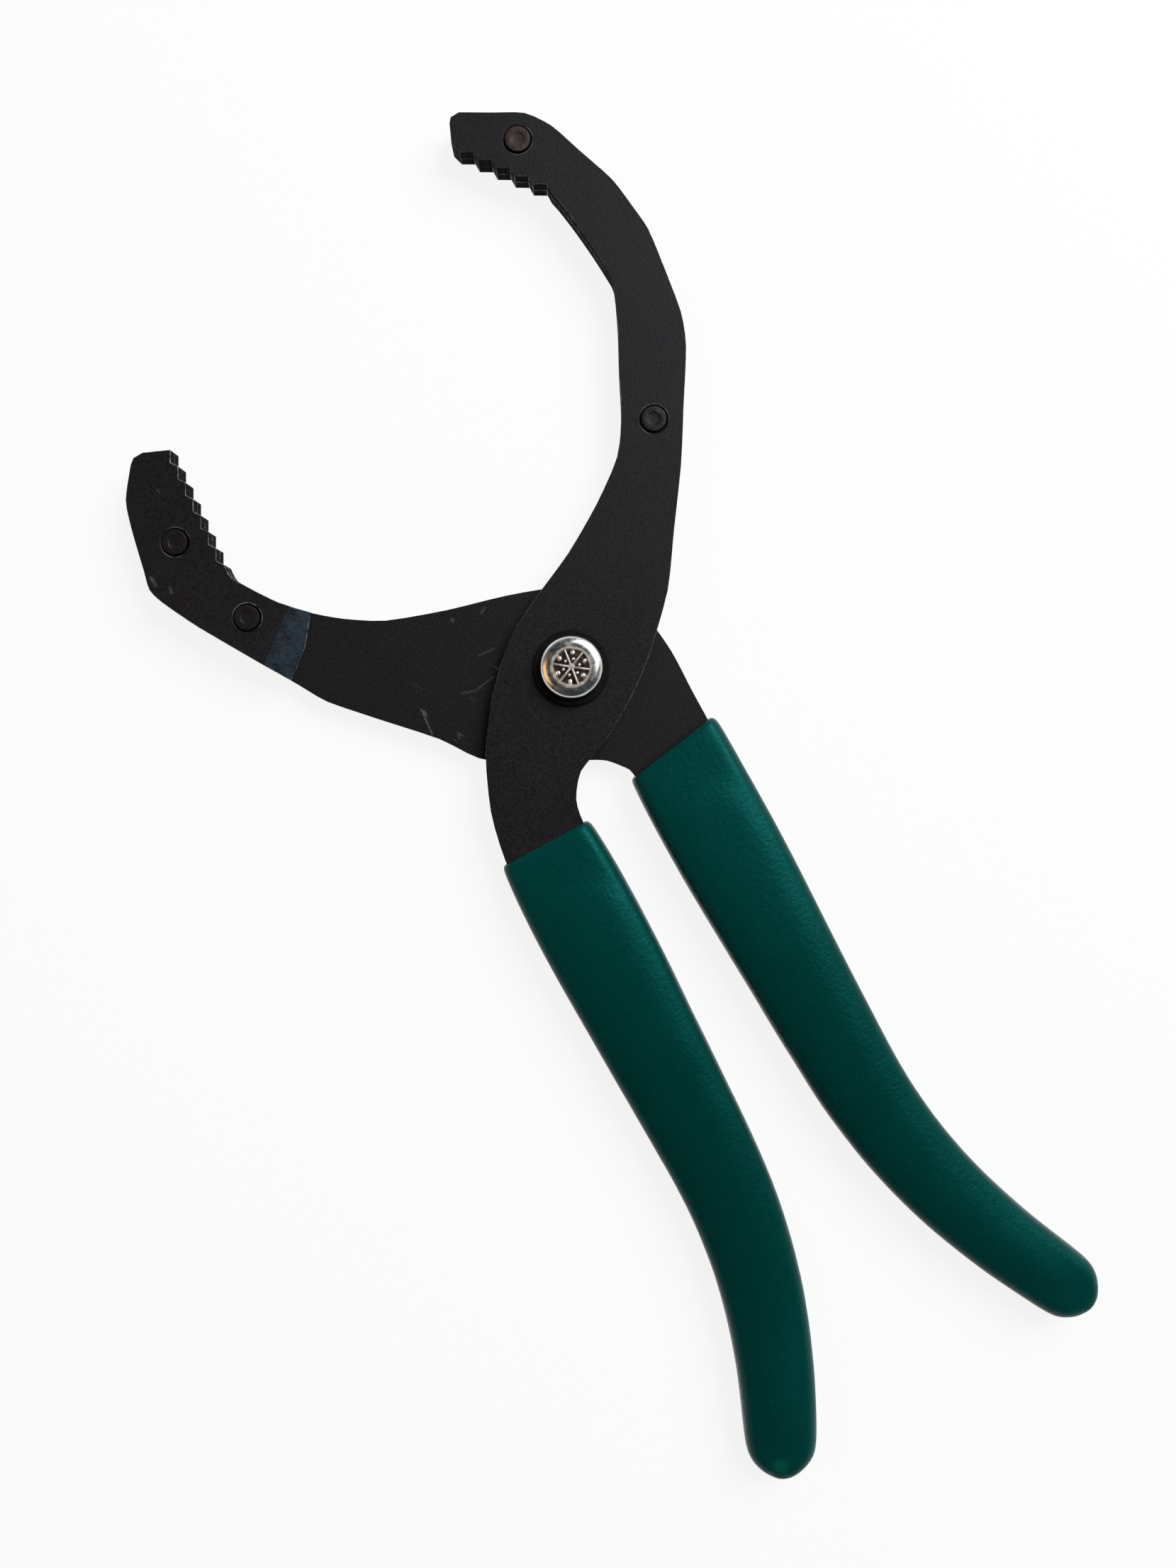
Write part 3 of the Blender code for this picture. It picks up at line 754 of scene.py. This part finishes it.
def dressPlate(nodeName, pieceName):
    look = plateLook
    piece = copyNode(nodeName, pieceName)
    editMode(piece)
    bpy.ops.mesh.select_all(action="SELECT")
    bpy.ops.mesh.dissolve_limited(angle_limit=math.radians(look["flat"]))
    objectMode()
    # the washer takes the near-black finish, painted shade round the pivot head
    if nodeName == "pivot_washer":
        setMaterials(piece, *[washerPaintedShade] * 4)
    else:
        setMaterials(piece, blackSteel, wornEdge, shearedSide, groundHeelSheen)
    for face in piece.data.polygons:
        upright = abs(face.normal.z)
        face.material_index = 2 if upright < look["wall"] else 0
        sloped = look["wall"] < upright < look["slope"] and face.area > look["slopeArea"]
        # large jaw slopes get the ground finish, whose bluish tone is a painted reflection
        if "jaw" in nodeName and sloped:
            face.material_index = 3
    breakEdges(
        piece, look["edge"], look["edgeSteps"], look["sharp"],
        material=1, miter_outer="MITER_ARC",
    )
    shadeSmooth(piece, look["sharp"])
    applyModifier(piece, "WEIGHTED_NORMAL", keep_sharp=True)
    standFor(piece, nodeName)


for nodeName, pieceName in plateLook["plates"].items():
    dressPlate(nodeName, pieceName)
print("plates dressed")


# turned pieces: one ring, extruded and resized up the profile

def turnPiece(name, profile, sides):
    bpy.ops.object.select_all(action="DESELECT")
    radius, height = profile[0]
    bpy.ops.mesh.primitive_circle_add(
        vertices=sides, radius=radius, fill_type="NGON", location=(0.0, 0.0, height)
    )
    piece = bpy.context.object
    setName(piece, name)
    applyPlace(piece)
    editMode(piece)
    bpy.ops.mesh.select_all(action="SELECT")
    for (radius, height), (nextRadius, nextHeight) in zip(profile, profile[1:]):
        bpy.ops.mesh.extrude_region_move(
            TRANSFORM_OT_translate={"value": (0.0, 0.0, nextHeight - height)}
        )
        grow = nextRadius / radius
        bpy.ops.transform.resize(
            value=(grow, grow, 1.0), center_override=(0.0, 0.0, nextHeight)
        )
    bpy.ops.mesh.select_all(action="SELECT")
    bpy.ops.mesh.remove_doubles(threshold=ringMerge)
    bpy.ops.mesh.normals_make_consistent(inside=False)
    objectMode()
    return piece


rivetLook = {
    "sides": 40,
    "shank": 0.0022,
    "sink": 0.0008,
    "head": 0.00275,
    "proud": 0.00045,
    "dimple": 0.0013,
    "dimpleFlare": 1.12,
    "dimpleDepth": 0.00018,
    "edge": 0.00022,
    "edgeSteps": 3,
    "sharp": 40.0,  # degrees
    "smooth": 35.0,  # degrees
    "rivets": {
        "front_jaw_tip_rivet": ("frontJawTipRivet", "brownRivet"),
        "front_jaw_heel_rivet": ("frontJawHeelRivet", "blackRivet"),
        "rear_jaw_tip_rivet": ("rearJawTipRivet", "blackRivet"),
        "rear_jaw_heel_rivet": ("rearJawHeelRivet", "blackRivet"),
    },
}


def rivetProfile(low, high):
    # from the rear to the front, both heads proud of the plates and dimpled by the press
    r = rivetLook
    head, shank, sink = r["head"], r["shank"], r["sink"]
    dimple, deep = r["dimple"], r["dimpleDepth"]
    rim = dimple * r["dimpleFlare"]
    bottom, top = low + r["proud"], high - r["proud"]
    return [
        (dimple, low + deep), (rim, low), (head, low), (head, bottom),
        (shank, bottom + sink), (shank, top - sink),
        (head, top), (head, high), (rim, high), (dimple, high - deep),
    ]


def buildRivets():
    r = rivetLook
    pattern = None
    for nodeName, (pieceName, tone) in r["rivets"].items():
        low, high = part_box(nodeName)
        middle = (low + high) / 2
        if pattern is None:
            pattern = turnPiece("rivetPattern", rivetProfile(low.z, high.z), r["sides"])
            breakEdges(pattern, r["edge"], r["edgeSteps"], r["sharp"])
            shadeSmooth(pattern, r["smooth"])
        piece = copyPiece(pattern)
        setName(piece, pieceName)
        piece.location = (middle.x, middle.y, 0.0)
        applyPlace(piece)
        setMaterials(piece, rivetSteel[tone])
        standFor(piece, nodeName)
    bpy.data.objects.remove(pattern)


buildRivets()
print("jaw rivets made")


# pivot rivet: flat rear head, shank, and a domed front head with a spoked rosette

pivotLook = {
    "sides": 72,
    "smooth": 32.0,  # degrees
    "rearHead": 0.0080,
    "rearHeight": 0.0015,
    "rearChamfer": 0.0004,
    "shank": 0.0040,
    "head": 0.00685,
    "headBottom": 0.0095,
    "headChamfer": 0.0002,
    "crownStart": 0.0109,
    "crownTop": 0.0121,
    "crownInner": 0.0046,
    "crownSteps": 7,
    "grooveDepth": 0.00022,
    "grooveSteps": (0.00008, 0.00020, 0.00028),  # inwards: the groove's floor and its far lip
    "rimInner": 0.0040,
    "rimSlope": 0.00035,
    "pocketFloor": 0.0113,
    "pocketRise": 0.0001,
    "pocketWall": 0.0002,  # faces this far above the floor get the pockets' painted shade too
    "hub": 0.0009,
    "hubTop": 0.0120,
    "hubShoulder": 0.8,
    "hubFlat": 0.3,
    "hubDome": 0.00005,
    "spokes": 6,
    "spokeWidth": 0.00075,
    "spokeTurn": 25.8,  # degrees
    "spokeStart": 0.5,  # share of the hub's radius
    "spokeOverlap": 0.0001,
    "spokeSink": 0.0002,
    "spokeDrop": 0.00008,
    "spokeTop": 0.9,  # a face whose normal is more upright is the spoke's top
    "spokeTaper": 0.45,
    "spokeEdge": 0.00012,
    "spokeEdgeSteps": 3,
    "spokeSharp": 30.0,  # degrees
    "beads": [  # each pane's: distance out, radius, turn
        (0.00315, 0.00056, 0.06), (0.00180, 0.00036, -0.10),
    ],
    "beadHeight": 0.75,
    "beadSides": 16,
    "beadRings": 10,
}


def pivotProfile():
    p = pivotLook
    profile = [
        (p["rearHead"] - p["rearChamfer"], 0.0),
        (p["rearHead"], p["rearChamfer"]),
        (p["rearHead"], p["rearHeight"]),
        (p["shank"], p["rearHeight"]),
        (p["shank"], p["headBottom"]),
        (p["head"] - p["headChamfer"], p["headBottom"]),
        (p["head"], p["headBottom"] + p["headChamfer"]),
        (p["head"], p["crownStart"]),
    ]
    wide, tall = p["head"] - p["crownInner"], p["crownTop"] - p["crownStart"]
    for k in range(1, p["crownSteps"] + 1):
        turn = math.pi / 2 * k / p["crownSteps"]
        radius = p["crownInner"] + wide * math.cos(turn)
        profile.append((radius, p["crownStart"] + tall * math.sin(turn)))
    groove = p["crownTop"] - p["grooveDepth"]
    for step, height in zip(p["grooveSteps"], (groove, groove, p["crownTop"])):
        profile.append((p["crownInner"] - step, height))
    profile += [
        (p["rimInner"], p["crownTop"]),
        (p["rimInner"] - p["rimSlope"], p["pocketFloor"]),
        (p["hub"], p["pocketFloor"] + p["pocketRise"]),
        (p["hub"] * p["hubShoulder"], p["hubTop"]),
        (p["hub"] * p["hubFlat"], p["hubTop"] + p["hubDome"]),
    ]
    return profile


def buildSpoke():
    # one spoke, thinner towards its top, running from the hub into the rim
    p = pivotLook
    start, end = p["hub"] * p["spokeStart"], p["rimInner"] + p["spokeOverlap"]
    bottom, top = p["pocketFloor"] - p["spokeSink"], p["crownTop"] - p["spokeDrop"]
    middle = (start + end) / 2
    bpy.ops.object.select_all(action="DESELECT")
    bpy.ops.mesh.primitive_cube_add(size=1.0, location=(middle, 0.0, (bottom + top) / 2))
    spoke = bpy.context.object
    spoke.scale = (end - start, p["spokeWidth"], top - bottom)
    applyPlace(spoke)
    pickFaces(spoke, lambda f: f.normal.z > p["spokeTop"])
    bpy.ops.transform.resize(
        value=(1.0, p["spokeTaper"], 1.0), center_override=(middle, 0.0, top)
    )
    objectMode()
    breakEdges(spoke, p["spokeEdge"], p["spokeEdgeSteps"], p["spokeSharp"])
    return spoke


def buildSpokes():
    p = pivotLook
    spokes = [buildSpoke()]
    while len(spokes) < p["spokes"]:
        spokes.append(copyPiece(spokes[0]))
    for k, spoke in enumerate(spokes):
        spoke.rotation_euler.z = math.radians(p["spokeTurn"]) + math.tau * k / p["spokes"]
        applyPlace(spoke)
    return spokes


def buildBeads():
    # raised points that the press left in the panes
    p = pivotLook
    beads = []
    for k in range(p["spokes"]):
        for reach, radius, lead in p["beads"]:
            turn = math.radians(p["spokeTurn"]) + math.tau * (k + 0.5) / p["spokes"] + lead
            bpy.ops.object.select_all(action="DESELECT")
            bpy.ops.mesh.primitive_uv_sphere_add(
                segments=p["beadSides"], ring_count=p["beadRings"], radius=radius,
                location=(reach * math.cos(turn), reach * math.sin(turn), p["pocketFloor"]),
            )
            bead = bpy.context.object
            bead.scale.z = p["beadHeight"]
            applyPlace(bead)
            beads.append(bead)
    return beads


def buildPivotRivet():
    p = pivotLook
    rivet = turnPiece("pivotRivet", pivotProfile(), p["sides"])
    satin = plating["satinPlating"]
    setMaterials(rivet, plating["brightPlating"], plating["pocketShadePlating"], satin)
    for face in rivet.data.polygons:
        reach = Vector(face.center[:2]).length
        if face.center.z > p["crownStart"] and reach < p["crownInner"]:
            # sunk faces take the dark plating, painted shade in the pockets
            sunk = face.center.z < p["pocketFloor"] + p["pocketWall"]
            face.material_index = 1 if sunk else 2
    spokes, beads = buildSpokes(), buildBeads()
    bpy.ops.object.select_all(action="DESELECT")
    for part in spokes + beads:
        # the beads take the lighter plating, a painted highlight
        setMaterials(part, plating["beadGlintPlating"] if part in beads else satin)
        part.select_set(True)
    rivet.select_set(True)
    bpy.context.view_layer.objects.active = rivet
    bpy.ops.object.join()
    shadeSmooth(rivet, p["smooth"])
    standFor(rivet, "pivot_rivet")


buildPivotRivet()
print("pivot rivet made")


# grips: the dipped skin, closed round the steel at its mouth

gripBuild = {
    "grips": {"front_grip": "frontGrip", "rear_grip": "rearGrip"},
    "lipFacing": 0.5,  # faces of the mouth point this much up the handle, or more
    "lipCut": 0.00045,
    "lipBack": 0.0016,
    "lipSteps": [  # inwards and ahead
        (0.00037, 0.00147), (0.0005, 0.00063), (0.0009, 0.0), (0.0009, -0.0004),
    ],
    "crown": 0.0008,
    "crownInset": 0.0030,
    "nose": 0.0006,
    "noseInset": 0.0014,
    "wall": 0.05,  # a face whose normal is less upright is a wall
    "quadFold": 50.0,  # degrees
    "quadShape": 60.0,  # degrees
    "samePlane": 1e-5,
    "sameWay": 0.99,
    "sameEnd": 0.999,
    "levels": 2,
    "wave": 0.00022,
    "waveSize": 0.014,
    "smooth": 60.0,  # degrees
}


def keepSkin(piece):
    # only what hangs together with the lowest point stays: the outside of the sleeve
    lowest = min(piece.data.vertices, key=lambda v: v.co.z).index
    pickFaces(piece, lambda f: lowest in f.vertices)
    bpy.ops.mesh.select_linked(delimit=set())
    bpy.ops.mesh.select_all(action="INVERT")
    bpy.ops.mesh.delete(type="FACE")
    bpy.ops.mesh.select_mode(type="VERT")
    bpy.ops.mesh.select_all(action="DESELECT")
    bpy.ops.mesh.select_loose()
    bpy.ops.mesh.delete(type="VERT")
    objectMode()


def closeRim(piece):
    g = gripBuild
    editMode(piece)
    bpy.ops.mesh.select_all(action="SELECT")
    bpy.ops.mesh.tris_convert_to_quads(
        face_threshold=math.radians(g["quadFold"]), shape_threshold=math.radians(g["quadShape"])
    )
    bpy.ops.mesh.select_all(action="DESELECT")
    bpy.ops.mesh.select_non_manifold(
        extend=False, use_wire=False, use_multi_face=False,
        use_non_contiguous=False, use_verts=False,
    )
    bpy.ops.mesh.edge_face_add()
    objectMode()
    rimPoint = next(f for f in piece.data.polygons if f.select).center.copy()
    editMode(piece)
    bpy.ops.mesh.select_all(action="SELECT")
    bpy.ops.mesh.normals_make_consistent(inside=False)
    objectMode()
    return rimPoint


def pickFlat(piece, spot, way, least):
    # the faces that lie in one plane and face one way
    near = gripBuild["samePlane"]
    pickFaces(
        piece,
        lambda f: abs((f.center - spot).dot(way)) < near and f.normal.dot(way) > least,
    )


def buildGrip(nodeName, pieceName):
    g = gripBuild
    piece = copyNode(nodeName, pieceName)
    low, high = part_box(nodeName)
    middle = (low.y + high.y) / 2
    lips = [
        f for f in piece.data.polygons
        if f.normal.y > g["lipFacing"] and f.center.y > middle
    ]
    facing = sum((f.normal * f.area for f in lips), Vector()).normalized()
    mouth = max(v.co.dot(facing) for v in piece.data.vertices)
    # the handle's space cuts the lip's corners, so the lip goes and is made again
    pickPoints(piece, lambda v: mouth - v.co.dot(facing) < g["lipCut"])
    bpy.ops.mesh.delete(type="VERT")
    objectMode()
    keepSkin(piece)
    rimPoint = closeRim(piece)
    pickFlat(piece, rimPoint, facing, g["sameWay"])
    bpy.ops.transform.translate(value=facing * -g["lipBack"])
    for inward, ahead in g["lipSteps"]:
        bpy.ops.mesh.inset(thickness=inward, depth=ahead)
    objectMode()
    highest = max(piece.data.vertices, key=lambda v: v.co.z).co.copy()
    pickFlat(piece, highest, Vector((0.0, 0.0, 1.0)), g["sameWay"])
    bpy.ops.mesh.inset(thickness=g["crownInset"], depth=g["crown"])
    objectMode()
    # the flat end of the nose becomes one face and is drawn out into a dome
    walls = [f for f in piece.data.polygons if abs(f.normal.z) < g["wall"]]
    end = max(walls, key=lambda f: (f.center - rimPoint).length)
    pickFlat(piece, end.center.copy(), end.normal.copy(), g["sameEnd"])
    bpy.ops.mesh.dissolve_faces()
    bpy.ops.mesh.inset(thickness=g["noseInset"], depth=g["nose"])
    objectMode()
    applyModifier(piece, "SUBSURF", levels=g["levels"], render_levels=g["levels"])
    waves = bpy.data.textures.new(pieceName + "Waves", "CLOUDS")
    waves.noise_scale = g["waveSize"]
    applyModifier(
        piece, "DISPLACE", texture=waves, texture_coords="LOCAL", strength=g["wave"],
        mid_level=0.5,
    )
    shadeSmooth(piece, g["smooth"])
    setMaterials(piece, dippedPlastic)
    standFor(piece, nodeName)


for nodeName, pieceName in gripBuild["grips"].items():
    buildGrip(nodeName, pieceName)
print("grips made")


# the plates and rivets inside the grips keep their own meshes

for nodeName, node in frame["nodes"].items():
    if "_handle_" in nodeName:
        isRivet = nodeName.endswith("rivet")
        setMaterials(node, rivetSteel["blackRivet"] if isRivet else blackSteel)
print("handle plates and rivets coloured")


# studio

studio = {
    "floorSize": 12.0,
    "floorHeight": -0.0002,
    "backdrop": 2.8,
    "shadow": 0.13,  # share of the floor that takes light and shade
    "paper": (0.90, 0.90, 0.90, 1.0),
    "white": (1.0, 1.0, 1.0, 1.0),
    "overhead": (0.036, 0.046, 0.050),
    "ceiling": (0.2, 0.8),  # heights between which the walls give way to it
    "walls": (0.50, 0.50, 0.49),
    "wallSide": (0.944, 0.329, 0.0),  # the walls are lightest this way
    "wallTurn": (-0.7, 0.8),
    "wallLeast": 0.06,
    "key": {
        "from": (0.85, 0.30, 0.95), "size": 0.90, "watts": 21.0, "color": (0.97, 0.99, 1.0),
    },
    "fill": {
        "from": (-0.96, 0.32, 1.10), "size": 0.80, "watts": 3.1, "color": (1.0, 0.58, 0.25),
    },
    "aim": (0.0, -0.02, 0.0),
}


def makeWhiteFloor():
    # white to the camera and in reflections, but for the share that takes light and shade
    material = bpy.data.materials.new("whiteFloor")
    material.use_nodes = True
    tree = material.node_tree
    tree.nodes.clear()
    seen = addNode(tree, "LightPath").outputs
    direct = math2(tree, "MAXIMUM", seen["Is Camera Ray"], seen["Is Glossy Ray"])
    direct = math2(tree, "MAXIMUM", direct, seen["Is Transmission Ray"])
    white = addNode(tree, "Emission")
    feed(tree, white, Color=studio["white"], Strength=1.0)
    paper = addNode(tree, "BsdfDiffuse")
    feed(tree, paper, Color=studio["paper"])
    mix = addNode(tree, "MixShader")
    tree.links.new(math2(tree, "MULTIPLY", direct, 1.0 - studio["shadow"]), mix.inputs[0])
    tree.links.new(paper.outputs[0], mix.inputs[1])
    tree.links.new(white.outputs[0], mix.inputs[2])
    output = addNode(tree, "OutputMaterial")
    tree.links.new(mix.outputs[0], output.inputs["Surface"])
    return material


def buildFloor():
    bpy.ops.object.select_all(action="DESELECT")
    bpy.ops.mesh.primitive_plane_add(
        size=studio["floorSize"], location=(0.0, 0.0, studio["floorHeight"])
    )
    floor = bpy.context.object
    floor.name = "studioFloor"
    # the floor's far edges turn up into a backdrop
    editMode(floor)
    bpy.ops.mesh.select_mode(type="EDGE")
    bpy.ops.mesh.select_all(action="SELECT")
    bpy.ops.mesh.extrude_edges_move(
        TRANSFORM_OT_translate={"value": (0.0, 0.0, studio["backdrop"])}
    )
    objectMode()
    floor.data.materials.append(makeWhiteFloor())


def addLamp(name, values):
    bpy.ops.object.light_add(type="AREA", location=values["from"])
    lamp = bpy.context.object
    lamp.name = name
    lamp.data.size = values["size"]
    lamp.data.energy = values["watts"]
    lamp.data.color = values["color"]
    aim = Vector(studio["aim"]) - Vector(values["from"])
    lamp.rotation_euler = aim.to_track_quat("-Z", "Y").to_euler()


def buildWorld():
    # a room with a dim ceiling, and walls that are lighter on the key lamp's side
    world = bpy.data.worlds.new("studioWorld")
    world.use_nodes = True
    tree = world.node_tree
    look = addNode(tree, "TexCoord").outputs["Generated"]
    parts = addNode(tree, "SeparateXYZ")
    tree.links.new(look, parts.inputs[0])
    toward = vectorMath(tree, "DOT_PRODUCT", look, studio["wallSide"])
    low = spread(tree, parts.outputs[2], *studio["ceiling"], 1.0, 0.0)
    side = spread(tree, toward, *studio["wallTurn"], studio["wallLeast"], 1.0)
    lit = math2(tree, "MULTIPLY", low, side)
    color = blendColor(tree, lit, studio["overhead"], studio["walls"])
    tree.links.new(color, tree.nodes["Background"].inputs["Color"])
    scene.world = world


cameraLook = {
    "at": (-0.0078, -0.02437, 0.3181),
    "turn": -25.8,  # degrees
    "frameHeight": 0.34286,  # metres across the long side, at the plates' front face
    "distance": 0.3100,
    "clipStart": 0.01,
}


def buildCamera():
    look = cameraLook
    bpy.ops.object.camera_add(
        location=look["at"], rotation=(0.0, 0.0, math.radians(look["turn"]))
    )
    camera = bpy.context.object
    camera.name = "photoCamera"
    camera.data.lens = camera.data.sensor_width * look["distance"] / look["frameHeight"]
    camera.data.clip_start = look["clipStart"]
    scene.camera = camera


buildFloor()
addLamp("keyLamp", studio["key"])
addLamp("fillLamp", studio["fill"])
buildWorld()
buildCamera()
print("studio and camera set")
